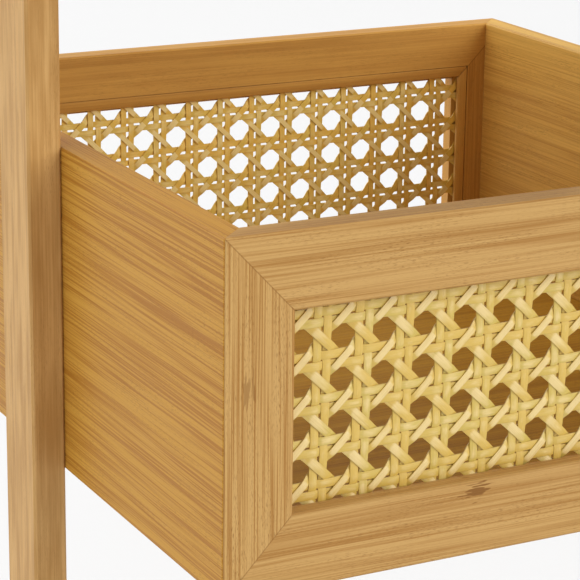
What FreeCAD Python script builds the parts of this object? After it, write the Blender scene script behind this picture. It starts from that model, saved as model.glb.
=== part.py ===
# Bamboo storage rack: two uprights on foot bars carry three open bins.
# Each bin has solid sides and mitred front and rear frames that hold cane webbing.
# Millimetres, +Z up, +Y to the back, origin on the floor in the middle of the rack.
import FreeCAD, Part
import Sketcher
import os
import re

# Driving sizes. Every other length is worked out from these.
SIZES = {
    # Bin: outside of one open box
    "bin_width": 230.0,
    "bin_depth": 240.0,
    "bin_height": 100.0,
    "board_thickness": 8.5,
    "edge_chamfer": 0.5,
    # Mitred frames at the front and the rear of a bin
    "stile_width": 20.7,
    "front_rail_width": 21.7,
    "rear_rail_width": 20.6,
    "lip_thickness": 5.2,
    "window_ease": 0.6,
    # Cane webbing in the rebate behind the lip
    "rebate_width": 5.0,
    "net_clearance": 0.2,
    "net_thickness": 2.0,
    "net_border": 1.0,
    "weave_pitch": 12.6,
    "weave_row_pitch": 12.2,
    "strand_width": 2.6,
    "pair_gap": 0.5,
    "front_weave_shift": -1.4,
    "rear_weave_shift": 4.6,
    "weave_rise": 5.4,
    # Floor board in a groove round the inside of a bin
    "floor_thickness": 4.0,
    "floor_lift": 6.0,
    "groove_depth": 4.0,
    "groove_clearance": 0.1,
    # Uprights
    "post_thickness": 10.5,
    "post_depth": 23.0,
    "post_chamfer": 0.7,
    "post_end_round": 8.0,
    "post_above": 18.0,
    # Stacking of the bins
    "tier_gap": 155.0,
    "foot_gap": 14.0,
    # Foot bars
    "foot_length": 240.0,
    "foot_thickness": 18.0,
    "foot_height": 30.0,
    "foot_end_round": 12.0,
    "foot_chamfer": 1.2,
    "arch_height": 6.0,
    "arch_inset": 40.0,
    "mortise_depth": 20.0,
    "mortise_clearance": 0.1,
    # Rubber pads under the foot bars
    "pad_width": 13.0,
    "pad_length": 24.0,
    "pad_thickness": 3.0,
    "pad_recess": 1.0,
    "pad_inset": 8.0,
    "pad_clearance": 0.2,
    # Screws, from inside a bin into the uprights, and through the foot bars
    "screw_radius": 2.0,
    "screw_clearance": 0.1,
    "screw_bite": 8.0,
    "screw_end_gap": 0.5,
    "screw_inset": 24.0,
    "head_radius": 4.2,
    "head_height": 2.4,
    "foot_screw_spread": 12.0,
    # How far a cutting solid runs past what it cuts
    "overrun": 2.0,
}

TIERS = ["lower", "middle", "upper"]
SIDES = {"left": -1, "right": 1}
FACES = {"front": -1, "rear": 1}

# Places that follow from the sizes, written as formulas in the names above
PAD_STAND = "(pad_thickness - pad_recess)"
FOOT_TOP = "(%s + foot_height)" % PAD_STAND
POST_IN = "(bin_width / 2)"
POST_OUT = "(bin_width / 2 + post_thickness)"
POST_MIDDLE = "(bin_width / 2 + post_thickness / 2)"
SCREW_HOLE = "screw_radius + screw_clearance"
TENON_PLACES = [(y, "%s - mortise_depth / 2" % FOOT_TOP)
                for y in ("-foot_screw_spread / 2", "foot_screw_spread / 2")]
# Screws and their holes have this many flat sides, which keeps the rack's facets few
SCREW_SIDES = 10

# Turns for a wedge, whose section changes along its own Y axis
NO_TURN = FreeCAD.Rotation()
UPRIGHT = FreeCAD.Rotation(FreeCAD.Vector(1, 0, 0), 90)
SIDEWAYS = FreeCAD.Rotation(FreeCAD.Vector(0, 0, 1), -90)
ALONG_X = FreeCAD.Rotation(FreeCAD.Vector(0, 1, 0), 90)

PIECES = []

doc = FreeCAD.newDocument("bamboo_storage_rack")
sheet = doc.addObject("Spreadsheet::Sheet", "sizes")
for row, (alias, size) in enumerate(SIZES.items(), start=1):
    sheet.set("A%d" % row, alias)
    sheet.set("B%d" % row, str(size))
    sheet.setAlias("B%d" % row, alias)
doc.recompute()


def value(name):
    return float(sheet.get(name))


def bind(item, prop, text):
    """Tie a property to a formula, with each size name in it pointed at its cell."""
    item.setExpression(prop, re.sub(r"[a-z_]+", lambda word: "<<sizes>>." + word.group(0), text))


def at(item, x="0", y="0", z="0"):
    bind(item, "Placement.Base.x", x)
    bind(item, "Placement.Base.y", y)
    bind(item, "Placement.Base.z", z)
    return item


def keep(item, label):
    """Make an object one of the rack's pieces."""
    item.Label = label
    PIECES.append(item)


def ordered(sign, near, far):
    """The one with the lower place first, where sign tells on which side of the middle they lie."""
    return (near, far) if sign > 0 else (far, near)


def mirrored(sign, text):
    return text if sign > 0 else "-(%s)" % text


def span(sign, near, far):
    """Low and high end of a stretch between two distances from the middle."""
    return ordered(sign, mirrored(sign, near), mirrored(sign, far))


def tier_base(number):
    """Height of the underside of a bin, counted from the floor."""
    return "(%s + foot_gap + %d * (bin_height + tier_gap))" % (FOOT_TOP, number)


def screw_heights(base):
    return [base + " + screw_inset", base + " + bin_height - screw_inset"]


def block(name, x, y, z):
    """A box between two formulas on each axis."""
    item = doc.addObject("Part::Box", name)
    for prop, (low, high) in zip(("Length", "Width", "Height"), (x, y, z)):
        bind(item, prop, "%s - (%s)" % (high, low))
    return at(item, x[0], y[0], z[0])


def taper(name, turn, near, far, ends, side="X"):
    """A wedge: near and far give a place on its own Y axis and the span there along side."""
    item = doc.addObject("Part::Wedge", name)
    item.Placement.Rotation = turn
    bind(item, "Ymin", near[0])
    bind(item, "Ymax", far[0])
    other = "Z" if side == "X" else "X"
    for axis, spans in ((side, near[1:] + far[1:]), (other, ends + ends)):
        for prop, text in zip(("%smin", "%smax", "%s2min", "%s2max"), spans):
            bind(item, prop % axis, text)
    return item


def join(kind, name, first, second):
    """A common or a cut of two objects, or the two fused."""
    item = doc.addObject("Part::" + kind, name)
    item.Base = first
    item.Tool = second
    return item


def rod(name, radius, along, y, z):
    """A many-sided rod along X between two formulas."""
    item = doc.addObject("Part::Prism", name)
    item.Placement.Rotation = ALONG_X
    item.Polygon = SCREW_SIDES
    bind(item, "Circumradius", radius)
    bind(item, "Height", "%s - (%s)" % (along[1], along[0]))
    return at(item, along[0], y, z)


def together(name, items):
    item = doc.addObject("Part::Compound", name)
    item.Links = items
    return item


def softened(kind, name, base, size_name, wanted):
    """Fillet or chamfer the edges of an object that a test of their boxes picks out."""
    base.recompute(True)
    item = doc.addObject("Part::" + kind, name)
    item.Base = base
    size = value(size_name)
    item.Edges = [(n, size, size) for n, edge in enumerate(base.Shape.Edges, start=1) if wanted(edge.BoundBox)]
    return item


# Bin shell: the outside and inside of all four walls, with chamfered arrises
def bin_shell(tier, base, top):
    outer = block(tier + "_outer", ("-bin_width / 2", "bin_width / 2"),
                  ("-bin_depth / 2", "bin_depth / 2"), (base, top))
    inner = block(tier + "_inner", ("-bin_width / 2 + board_thickness", "bin_width / 2 - board_thickness"),
                  ("-bin_depth / 2 + board_thickness", "bin_depth / 2 - board_thickness"),
                  (base + " - overrun", top + " + overrun"))
    walls = join("Cut", tier + "_walls", outer, inner)

    def arris(box):
        upright = box.ZLength > value("board_thickness")
        outside = abs(box.Center.x) > value("bin_width") / 2 - value("board_thickness") / 2
        return outside or not upright

    return softened("Chamfer", tier + "_shell", walls, "edge_chamfer", arris)


# Floor board, and the room for it that is cut into the walls
def bin_floor(tier, base):
    reach_x = "bin_width / 2 - board_thickness + groove_depth"
    reach_y = "bin_depth / 2 - board_thickness + groove_depth"
    low = base + " + floor_lift"
    high = low + " + floor_thickness"
    floor = block(tier + "_floor_board",
                  ("-(%s) + groove_clearance" % reach_x, reach_x + " - groove_clearance"),
                  ("-(%s) + groove_clearance" % reach_y, reach_y + " - groove_clearance"), (low, high))
    keep(floor, tier + "_floor")
    return block(tier + "_groove", ("-(%s)" % reach_x, reach_x), ("-(%s)" % reach_y, reach_y),
                 (low + " - groove_clearance", high + " + groove_clearance"))


# Side boards: mitred at both ends, drilled for the screws into the uprights
def bin_sides(tier, base, top, shell, groove):
    outside = "bin_width / 2"
    inside = outside + " - board_thickness"
    outer_edge = ("-bin_depth / 2", "bin_depth / 2")
    inner_edge = ("-bin_depth / 2 + board_thickness", "bin_depth / 2 - board_thickness")
    for side, sign in SIDES.items():
        name = "%s_%s_side" % (tier, side)
        low, high = span(sign, inside, outside)
        low_edge, high_edge = ordered(sign, inner_edge, outer_edge)
        region = taper(name + "_region", SIDEWAYS, (low,) + low_edge, (high,) + high_edge, (base, top))
        board = join("Common", name + "_board", shell, region)
        grooved = join("Cut", name + "_grooved", board, groove)
        through = span(sign, inside + " - overrun", outside + " + overrun")
        holes = [rod("%s_hole_%d" % (name, n), SCREW_HOLE, through, "0", height)
                 for n, height in enumerate(screw_heights(base))]
        keep(join("Cut", name + "_drilled", grooved, together(name + "_holes", holes)), name)


# Frames: two rails and two stiles with mitred corners, rebated behind for the webbing
def bin_frame(tier, face, base, top, shell, groove):
    sign = FACES[face]
    name = "%s_%s" % (tier, face)
    rail = face + "_rail_width"
    skin = "bin_depth / 2"
    back = skin + " - board_thickness"
    half_window = "bin_width / 2 - stile_width"
    window_low = base + " + " + rail
    window_high = top + " - " + rail

    rebate = block(name + "_rebate",
                   ("-(%s) - rebate_width" % half_window, half_window + " + rebate_width"),
                   span(sign, back + " - overrun", skin + " - lip_thickness"),
                   (window_low + " - rebate_width", window_high + " + rebate_width"))
    # The window opens a little towards the face of the frame, so its arris is eased
    low, high = span(sign, skin + " - window_ease", skin)
    narrow = ("-(%s)" % half_window, half_window)
    wide = ("-(%s) - window_ease" % half_window, half_window + " + window_ease")
    low_spans, high_spans = ordered(sign, narrow, wide)
    flare = taper(name + "_flare", NO_TURN, (low,) + low_spans, (high,) + high_spans, ("0", "0"))
    tall = (window_low + " - window_ease", window_high + " + window_ease")
    low_spans, high_spans = ordered(sign, (window_low, window_high), tall)
    for prop, text in zip(("Zmin", "Zmax", "Z2min", "Z2max"), low_spans + high_spans):
        bind(flare, prop, text)
    cutters = together(name + "_cutters", [rebate, flare, groove])

    low, high = span(sign, back, skin)
    corner = ("-bin_width / 2", "bin_width / 2")
    inner_corner = ("-bin_width / 2 + board_thickness", "bin_width / 2 - board_thickness")
    low_spans, high_spans = ordered(sign, inner_corner, corner)
    panel = taper(name + "_panel", NO_TURN, (low,) + low_spans, (high,) + high_spans, (base, top))
    blank = join("Common", name + "_blank", shell, panel)
    # A turned wedge's own X or Z axis runs against the rack's Y axis
    through = ("-(%s)" % high, "-(%s)" % low)
    regions = {
        "bottom_rail": (UPRIGHT, (base,) + corner, (window_low,) + narrow, through, "X"),
        "top_rail": (UPRIGHT, (window_high,) + narrow, (top,) + corner, through, "X"),
        "left_stile": (SIDEWAYS, (corner[0], base, top), (narrow[0], window_low, window_high), through, "Z"),
        "right_stile": (SIDEWAYS, (narrow[1], window_low, window_high), (corner[1], base, top), through, "Z"),
    }
    for part, region in regions.items():
        piece = "%s_%s" % (name, part)
        strip = join("Common", piece + "_strip", blank, taper(piece + "_region", *region))
        keep(join("Cut", piece + "_rebated", strip, cutters), piece)
    webbing(name, sign, face, base, rail)


def loop(points):
    spots = [FreeCAD.Vector(x, 0, z) for x, z in points]
    return Part.makePolygon(spots + spots[:1])


def steps(shift, step, limit):
    """Places a step apart, one of them at shift, that keep within the limit on both sides."""
    count = int((limit + abs(shift)) // step) + 1
    places = [shift + n * step for n in range(-count, count + 1)]
    return [place for place in places if abs(place) <= limit]


# Cane webbing: one sheet with an eight-sided hole in every cell of the weave.
# Pairs of strands run both ways and single strands run on both diagonals, so a hole has
# two pairs of sides half a pair away from its cell's edge, and its corners are cut off.
def webbing(name, sign, face, base, rail):
    reach = value("rebate_width") - value("net_clearance")
    half_wide = value("bin_width") / 2 - value("stile_width") + reach
    half_high = value("bin_height") / 2 - value(rail) + reach
    pitch, row_pitch, strand = value("weave_pitch"), value("weave_row_pitch"), value("strand_width")
    pair = strand + value("pair_gap") / 2
    hole_wide = pitch / 2 - pair
    hole_high = row_pitch / 2 - pair
    to_diagonal = pitch * row_pitch / 2 / (pitch ** 2 + row_pitch ** 2) ** 0.5
    open_share = 1 - strand / 2 / to_diagonal
    cut_high = row_pitch / 2 * (open_share - 2 * hole_wide / pitch)
    cut_wide = pitch / 2 * (open_share - 2 * hole_high / row_pitch)
    corners = [(hole_wide, cut_high), (cut_wide, hole_high), (-cut_wide, hole_high), (-hole_wide, cut_high),
               (-hole_wide, -cut_high), (-cut_wide, -hole_high), (cut_wide, -hole_high), (hole_wide, -cut_high)]
    outline = loop([(-half_wide, -half_high), (half_wide, -half_high), (half_wide, half_high),
                    (-half_wide, half_high)])
    border = value("net_border")
    columns = steps(value(face + "_weave_shift"), pitch, half_wide - hole_wide - border)
    rows = steps(value("weave_rise"), row_pitch, half_high - hole_high - border)
    holes = [loop([(x + dx, z + dz) for dx, dz in corners]) for x in columns for z in rows]
    holed = Part.makeFace([outline] + holes, "Part::FaceMakerCheese")
    net = doc.addObject("Part::Feature", name + "_net")
    net.Shape = holed.extrude(FreeCAD.Vector(0, -sign * value("net_thickness"), 0))
    at(net, "0", mirrored(sign, "bin_depth / 2 - lip_thickness"), base + " + bin_height / 2")
    keep(net, name + "_webbing")
    print("%s_webbing: %d columns by %d rows of holes" % (name, len(columns), len(rows)))


# Screws: a shank and a head, lying along X and pointing outwards
def screw(name, sign, seat, grip, y, z):
    """seat is the distance from the middle of the rack to the face that the head bears on."""
    shank = rod(name + "_shank", "screw_radius", span(sign, seat, "%s + %s" % (seat, grip)), y, z)
    head = rod(name + "_head", "head_radius", span(sign, seat + " - head_height", seat), y, z)
    return join("Fuse", name, shank, head)


def bin_screws(tier, base):
    screws = [screw("%s_%s_screw_%d" % (tier, side, n), sign, "bin_width / 2 - board_thickness",
                    "board_thickness + screw_bite", "0", height)
              for side, sign in SIDES.items() for n, height in enumerate(screw_heights(base))]
    keep(together(tier + "_screw_set", screws), tier + "_screws")


# Uprights: flat strips with rounded tops and blind holes for the screws
def post(side, sign):
    foot_end = "%s - mortise_depth" % FOOT_TOP
    top = tier_base(len(TIERS) - 1) + " + bin_height + post_above"
    strip = block(side + "_post_strip", span(sign, POST_IN, POST_OUT), ("-post_depth / 2", "post_depth / 2"),
                  (foot_end, top))
    near = value("post_chamfer")

    def top_corner(box):
        return box.XLength > near and box.Center.z > strip.Shape.BoundBox.ZMax - near

    def long_arris(box):
        return box.XLength < near and box.ZMax > strip.Shape.BoundBox.ZMin + near

    capped = softened("Fillet", side + "_post_capped", strip, "post_end_round", top_corner)
    eased = softened("Chamfer", side + "_post_eased", capped, "post_chamfer", long_arris)
    blind = span(sign, POST_IN, "%s + screw_bite + screw_end_gap" % POST_IN)
    places = [("0", height) for number in range(len(TIERS)) for height in screw_heights(tier_base(number))]
    holes = [rod("%s_post_hole_%d" % (side, n), SCREW_HOLE, blind, y, z)
             for n, (y, z) in enumerate(places + TENON_PLACES)]
    keep(join("Cut", side + "_post_drilled", eased, together(side + "_post_holes", holes)), side + "_post")


def sketch_on(body, role, name):
    plane = next(item for item in body.Origin.OriginFeatures if item.Role == role)
    sketch = body.newObject("Sketcher::SketchObject", name)
    sketch.AttachmentSupport = [(plane, "")]
    sketch.MapMode = "FlatFace"
    return sketch


def hold(sketch, text, *constraint):
    """Add a constraint whose size is a formula."""
    index = sketch.addConstraint(Sketcher.Constraint(*constraint))
    bind(sketch, "Constraints[%d]" % index, text)


def closed_outline(sketch, spots):
    """Straight edges through spots, each spot held by its two formulas."""
    guess = value("foot_height")
    first = sketch.GeometryCount
    for n in range(len(spots)):
        start = FreeCAD.Vector(guess * n, guess * n * n, 0)
        finish = FreeCAD.Vector(guess * (n + 1), guess * (n + 1) ** 2, 0)
        sketch.addGeometry(Part.LineSegment(start, finish))
    for n, spot in enumerate(spots):
        following = first + (n + 1) % len(spots)
        sketch.addConstraint(Sketcher.Constraint("Coincident", first + n, 2, following, 1))
        for kind, text in zip(("DistanceX", "DistanceY"), spot):
            index = sketch.addConstraint(Sketcher.Constraint(kind, -1, 1, first + n, 1, guess))
            bind(sketch, "Constraints[%d]" % index, text)


def rectangle(sketch, left, right, low, high):
    closed_outline(sketch, [(left, low), (right, low), (right, high), (left, high)])


def pocket(body, sketch, depth, reverse=False):
    item = body.newObject("PartDesign::Pocket", sketch.Name + "_pocket")
    item.Profile = sketch
    item.Reversed = reverse
    bind(item, "Length", depth)
    return item


def soften(body, kind, name, size_prop, size, wanted):
    """Fillet or chamfer the edges of a body's last feature that a test of their boxes picks out."""
    doc.recompute()
    base = body.Tip
    picked = ["Edge%d" % n for n, edge in enumerate(base.Shape.Edges, start=1) if wanted(edge.BoundBox)]
    item = body.newObject("PartDesign::" + kind, name)
    item.Base = (base, picked)
    bind(item, size_prop, size)


# Foot bars: an arched profile with a mortise for the upright and seats for the pads
def foot(side, sign):
    body = doc.addObject("PartDesign::Body", side + "_foot_body")
    profile = sketch_on(body, "YZ_Plane", side + "_foot_profile")
    half = "foot_length / 2"
    ramp = "arch_inset + arch_height"
    closed_outline(profile, [("-" + half, "0"), ("-%s + arch_inset" % half, "0"),
                             ("-%s + %s" % (half, ramp), "arch_height"),
                             ("%s - (%s)" % (half, ramp), "arch_height"),
                             (half + " - arch_inset", "0"), (half, "0"),
                             (half, "foot_height"), ("-" + half, "foot_height")])
    bar = body.newObject("PartDesign::Pad", side + "_foot_bar")
    bar.Profile = profile
    bar.SideType = "Symmetric"
    bind(bar, "Length", "foot_thickness")
    high, wide = value("foot_height"), value("foot_thickness")
    soften(body, "Fillet", side + "_foot_ends", "Radius", "foot_end_round",
           lambda box: box.XLength > wide / 2 and box.Center.z > high / 2)
    soften(body, "Chamfer", side + "_foot_eased", "Size", "foot_chamfer",
           lambda box: box.XLength < wide / 2 and box.ZMin > value("arch_height"))

    seats = sketch_on(body, "XY_Plane", side + "_pad_seats")
    for low, high_end in (("-%s + pad_inset" % half, "-%s + pad_inset + pad_length" % half),
                          (half + " - pad_inset - pad_length", half + " - pad_inset")):
        rectangle(seats, "-pad_width / 2 - pad_clearance", "pad_width / 2 + pad_clearance",
                  low + " - pad_clearance", high_end + " + pad_clearance")
    mortise = sketch_on(body, "XY_Plane", side + "_mortise")
    bind(mortise, "AttachmentOffset.Base.z", "foot_height")
    rectangle(mortise, "-post_thickness / 2 - mortise_clearance", "post_thickness / 2 + mortise_clearance",
              "-post_depth / 2 - mortise_clearance", "post_depth / 2 + mortise_clearance")
    cuts = [pocket(body, seats, "pad_recess", True), pocket(body, mortise, "mortise_depth")]
    body.Tip = cuts[-1]
    at(body, mirrored(sign, POST_MIDDLE), "0", PAD_STAND)
    cheek = span(sign, "%s - foot_thickness / 2 - overrun" % POST_MIDDLE, POST_MIDDLE)
    holes = [rod("%s_foot_hole_%d" % (side, n), SCREW_HOLE, cheek, y, z)
             for n, (y, z) in enumerate(TENON_PLACES)]
    bored = join("Cut", side + "_foot_bored", body, together(side + "_foot_holes", holes))
    doc.recompute()
    volumes = [item.Shape.Volume for item in [bar] + cuts + [bored]]
    print("%s_foot: %s mm3 after each cut" % (side, ", ".join("%.0f" % volume for volume in volumes)))
    if sorted(set(volumes), reverse=True) != volumes:
        raise ValueError(side + "_foot has a cut that takes nothing away")
    keep(bored, side + "_foot")


# Pads: rubber blocks seated in the underside of the foot bars
def foot_pads():
    pads = []
    for side, sign in SIDES.items():
        across = span(sign, "%s - pad_width / 2" % POST_MIDDLE, "%s + pad_width / 2" % POST_MIDDLE)
        for end, end_sign in FACES.items():
            along = span(end_sign, "foot_length / 2 - pad_inset - pad_length", "foot_length / 2 - pad_inset")
            pads.append(block("%s_%s_pad" % (side, end), across, along, ("0", "pad_thickness")))
    keep(together("pad_set", pads), "foot_pads")


# Screws through the inner cheek of each foot bar into the foot of the upright
def foot_screws():
    seat = "%s - foot_thickness / 2" % POST_MIDDLE
    grip = "foot_thickness / 2 - post_thickness / 2 + screw_bite"
    screws = [screw("%s_foot_screw_%d" % (side, n), sign, seat, grip, y, z)
              for side, sign in SIDES.items() for n, (y, z) in enumerate(TENON_PLACES)]
    keep(together("foot_screw_set", screws), "foot_screws")


for number, tier in enumerate(TIERS):
    base = tier_base(number)
    top = "(%s + bin_height)" % base
    shell = bin_shell(tier, base, top)
    groove = bin_floor(tier, base)
    bin_sides(tier, base, top, shell, groove)
    for face in FACES:
        bin_frame(tier, face, base, top, shell, groove)
    bin_screws(tier, base)
for side, sign in SIDES.items():
    post(side, sign)
    foot(side, sign)
foot_pads()
foot_screws()
doc.recompute()

# Every object and every piece is sound before anything is written
for item in doc.Objects:
    if "Invalid" in item.State or "Error" in item.State:
        raise ValueError("%s failed: %s" % (item.Name, item.State))
for item in PIECES:
    if item.Shape.isNull() or not item.Shape.isValid():
        raise ValueError(item.Label + " has no sound shape")

os.makedirs("parts", exist_ok=True)
for item in PIECES:
    item.Shape.exportStep("parts/%s.step" % item.Label)
    print("%-28s %2d solids %9.0f mm3" % (item.Label, len(item.Shape.Solids), item.Shape.Volume))
print("%d pieces" % len(PIECES))
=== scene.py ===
# %% [markdown]
# A bamboo storage rack: three open bins, one above another, hang between two uprights that stand in
# foot bars. Every board is bamboo, and the front and rear of each bin is a mitred frame with cane
# webbing behind its window. The boards keep the shapes that the frame gives them, so this lesson is
# mostly about finishes, and about weaving the cane strand by strand.

# %% Load the frame
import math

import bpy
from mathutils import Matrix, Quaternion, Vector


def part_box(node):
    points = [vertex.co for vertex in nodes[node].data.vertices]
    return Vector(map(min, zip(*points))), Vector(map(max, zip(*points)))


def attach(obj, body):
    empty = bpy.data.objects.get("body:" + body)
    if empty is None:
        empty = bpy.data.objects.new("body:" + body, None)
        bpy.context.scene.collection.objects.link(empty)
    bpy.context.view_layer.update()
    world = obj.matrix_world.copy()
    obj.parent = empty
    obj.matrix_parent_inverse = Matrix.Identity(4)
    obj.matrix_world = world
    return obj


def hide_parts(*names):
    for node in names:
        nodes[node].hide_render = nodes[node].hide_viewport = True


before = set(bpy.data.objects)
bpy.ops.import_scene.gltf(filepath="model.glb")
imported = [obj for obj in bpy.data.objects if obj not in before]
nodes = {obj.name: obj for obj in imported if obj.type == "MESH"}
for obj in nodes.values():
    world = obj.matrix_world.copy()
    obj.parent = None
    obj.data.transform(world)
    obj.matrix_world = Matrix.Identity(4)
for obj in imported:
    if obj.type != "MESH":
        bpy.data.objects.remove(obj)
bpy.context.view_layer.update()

# %% [markdown]
# The frame arrives as one object per piece, each at the origin with its place in its points.

MM = 0.001
TOUCH = 0.001 * MM
TIERS = ("lower", "middle", "upper")
FACES = {"front": -1, "rear": 1}

# %% [markdown]
# The picture was taken from in front, from the left and a little above, with a long lens. Edges that
# are parallel on the rack hardly meet in it, so the camera stands well back. Its place, direction and
# lens were found by matching the holes of the webbing and the edges of one bin to the picture.

# %% Camera
CAMERA_PLACE = Vector((-367.4, -637.9, 561.1)) * MM
AZIMUTH = math.radians(27.64)
ELEVATION = math.radians(-16.75)
ROLL = math.radians(0.84)
FOCAL_PIXELS = 2373.7
PICTURE_SIDE = 580
SENSOR = 36.0

level = math.cos(ELEVATION)
forward = Vector((math.sin(AZIMUTH) * level, math.cos(AZIMUTH) * level, math.sin(ELEVATION)))
bpy.ops.object.camera_add(location=CAMERA_PLACE)
camera = bpy.context.object
camera.name = "camera"
camera.rotation_mode = "QUATERNION"
camera.rotation_quaternion = forward.to_track_quat("-Z", "Y") @ Quaternion((0, 0, 1), ROLL)
camera.data.sensor_width = SENSOR
camera.data.lens = FOCAL_PIXELS / PICTURE_SIDE * SENSOR
camera.data.clip_start = 0.05
camera.data.clip_end = 60
bpy.context.scene.camera = camera
print("lens %.1f mm, camera %.2f m from the rack" % (camera.data.lens, CAMERA_PLACE.length))

# %% [markdown]
# A product studio has a pale floor and large soft lamps. In the picture the left sides and the front
# are equally bright, yet the upright's front is deep orange where the bin stands beside it. So one
# lamp is low on the left and another in front on the right. A third behind keeps the back from going
# dull. The last is high up and lights the floor, while the bins shade each other from it. Wide sun
# lamps light the floor evenly, however far it goes, and the plain view transform keeps its white white.

# %% Floor, surround and lamps
FLOOR_RADIUS = 25
SURROUND_LIGHT = 0.50


def plain_material(name, colour, roughness):
    """A material for the studio, which isn't part of the rack."""
    material = bpy.data.materials.new(name)
    material.use_nodes = True
    shader = material.node_tree.nodes["Principled BSDF"]
    shader.inputs["Base Color"].default_value = colour + (1,)
    shader.inputs["Roughness"].default_value = roughness
    return material


def soft_sun(name, direction, strength, width):
    """A sun lamp as wide as a big screen, whose light comes from a direction. width is in degrees."""
    bpy.ops.object.light_add(type="SUN", location=direction)
    lamp = bpy.context.object
    lamp.name = name
    lamp.rotation_euler = Vector(direction).to_track_quat("Z", "Y").to_euler()
    lamp.data.energy = strength
    lamp.data.angle = math.radians(width)


bpy.ops.mesh.primitive_circle_add(vertices=64, radius=FLOOR_RADIUS, fill_type="NGON")
floor = bpy.context.object
floor.name = "floor"
floor.data.materials.append(plain_material("floor_white", (0.74, 0.74, 0.74), 0.7))

world = bpy.data.worlds.new("surround")
bpy.context.scene.world = world
world.use_nodes = True
world.node_tree.nodes["Background"].inputs["Color"].default_value = (1, 1, 1, 1)
world.node_tree.nodes["Background"].inputs["Strength"].default_value = SURROUND_LIGHT
bpy.context.scene.view_settings.view_transform = "Standard"

soft_sun("left_lamp", (-2.0, -0.1, 0.65), 0.66, 45)
soft_sun("right_lamp", (1.5, -1.9, 1.2), 1.75, 45)
soft_sun("back_lamp", (-0.6, 2.0, 1.2), 0.9, 60)
soft_sun("top_lamp", (-0.3, 0.9, 2.6), 1.1, 40)

# %% [markdown]
# Materials are networks of nodes. Small helpers keep the code close to how a network reads: each adds
# a node, fills its sockets with values or links, and hands on the node or its result. The last two make
# and use node groups, for effects that several materials share.

# %% Helpers for shader networks


def fill(tree, sockets, values):
    """Gives each named or numbered socket its value, or a link where the value is an output."""
    for key, value in values:
        if isinstance(value, bpy.types.NodeSocket):
            tree.links.new(value, sockets[key])
        else:
            sockets[key].default_value = value


def put(tree, kind, *values, **named):
    """Adds a shader node whose sockets take values or links, in order or by name."""
    node = tree.nodes.new("ShaderNode" + kind)
    fill(tree, node.inputs, list(enumerate(values)) + list(named.items()))
    return node


def sums(tree, operation, *values):
    """Adds a Math node and returns its result."""
    node = put(tree, "Math", *values)
    node.operation = operation
    return node.outputs[0]


def swing(tree, noise, size, base=0.0):
    """Noise from 0 to 1 becomes a swing of a given size about a base."""
    return sums(tree, "MULTIPLY_ADD", sums(tree, "SUBTRACT", noise, 0.5), size, base)


def ramp(tree, value, low, high, start=0.0, end=1.0):
    """Spreads the stretch from low to high over start to end, and holds it there beyond."""
    node = put(tree, "MapRange", value, low, high, start, end)
    node.interpolation_type = "SMOOTHSTEP"
    return node.outputs[0]


def mixed(tree, share, first, second):
    """Adds a Mix node for colours and returns its result."""
    node = tree.nodes.new("ShaderNodeMix")
    node.data_type = "RGBA"
    sockets = {socket.identifier: socket for socket in node.inputs}
    fill(tree, sockets, (("Factor_Float", share), ("A_Color", first), ("B_Color", second)))
    return [socket for socket in node.outputs if socket.identifier == "Result_Color"][0]


def streaks(tree, spots, lengths, detail):
    """Noise drawn out along a piece: spots are its three places, lengths the size of a mark each way."""
    scaled = [sums(tree, "DIVIDE", spot, length) for spot, length in zip(spots, lengths)]
    corner = put(tree, "CombineXYZ", *scaled)
    noise = put(tree, "TexNoise", Vector=corner.outputs[0], Scale=1.0, Detail=detail, Roughness=0.55)
    return noise.outputs["Fac"]


def new_group(name, inputs, outputs):
    """An empty node group with named inputs and outputs, each a (name, kind, default) or (name, kind)."""
    group = bpy.data.node_groups.new(name, "ShaderNodeTree")
    for label, kind, default in inputs:
        socket = group.interface.new_socket(label, in_out="INPUT", socket_type="NodeSocket" + kind)
        socket.default_value = default
    for label, kind in outputs:
        group.interface.new_socket(label, in_out="OUTPUT", socket_type="NodeSocket" + kind)
    return group, group.nodes.new("NodeGroupInput"), group.nodes.new("NodeGroupOutput")


def use_group(tree, group, values):
    """Puts a node group into a material's network, with a value or a link for each socket."""
    node = tree.nodes.new("ShaderNodeGroup")
    node.node_tree = group
    fill(tree, node.inputs, values.items())
    return node


# %% [markdown]
# Bamboo board is glued up from strips split from the wall of the stem. So its grain is straight: soft
# bands, fine lines in them, and dark little dashes where a bundle of fibres comes to the surface. Each
# strip has a tone of its own and meets its neighbour in a thin line. Here and there a bud of the stem
# leaves a small dark knot. One node group draws all this from three distances, along the grain, across
# the strips and through the board, and every board uses it with its own colours.

# %% How large and how strong the marks are
STRIP = 6.9
WANDER = 2.0
KNOT_LONG = 4.0
KNOT_HIGH = 2.4
KNOT_RAGGED = 5.0

# The size of a mark along the grain, across the strips and through the board, in millimetres
WANDER_SIZE = (150, 30, 30)
BAND_SIZE = (210, 3.4, 3.4)
LINE_SIZE = (130, 0.9, 0.9)
FINE_SIZE = (45, 0.42, 0.42)
DASH_SIZE = (1.8, 0.2, 0.2)
CROWD_SIZE = (45, 5, 5)
MOTTLE_SIZE = (30, 3.2, 3.2)
SPLINTER_SIZE = (5, 0.7, 0.7)

# How far each mark swings a board about its middle tone, where 0 is its dark tone and 1 its light one
MIDDLE_TONE = 0.55
BAND_SWING = 0.9
LINE_SWING = 1.7
FINE_SWING = 1.8
MOTTLE_SWING = 2.0
STRIP_SWING = 0.22

# Where noise, or the distance from a middle, starts and stops to fade into a mark, then the smallest
# share of the dashes, and how dark the thin line between two strips is
DASH_FADE = (0.54, 0.68)
CROWD_FADE = (0.44, 0.62)
GLUE_FADE = (0.482, 0.497)
KNOT_FADE = (2.9, 3.4)
FEWEST_DASHES = 0.25
GLUE_SHARE = 0.14

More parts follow.
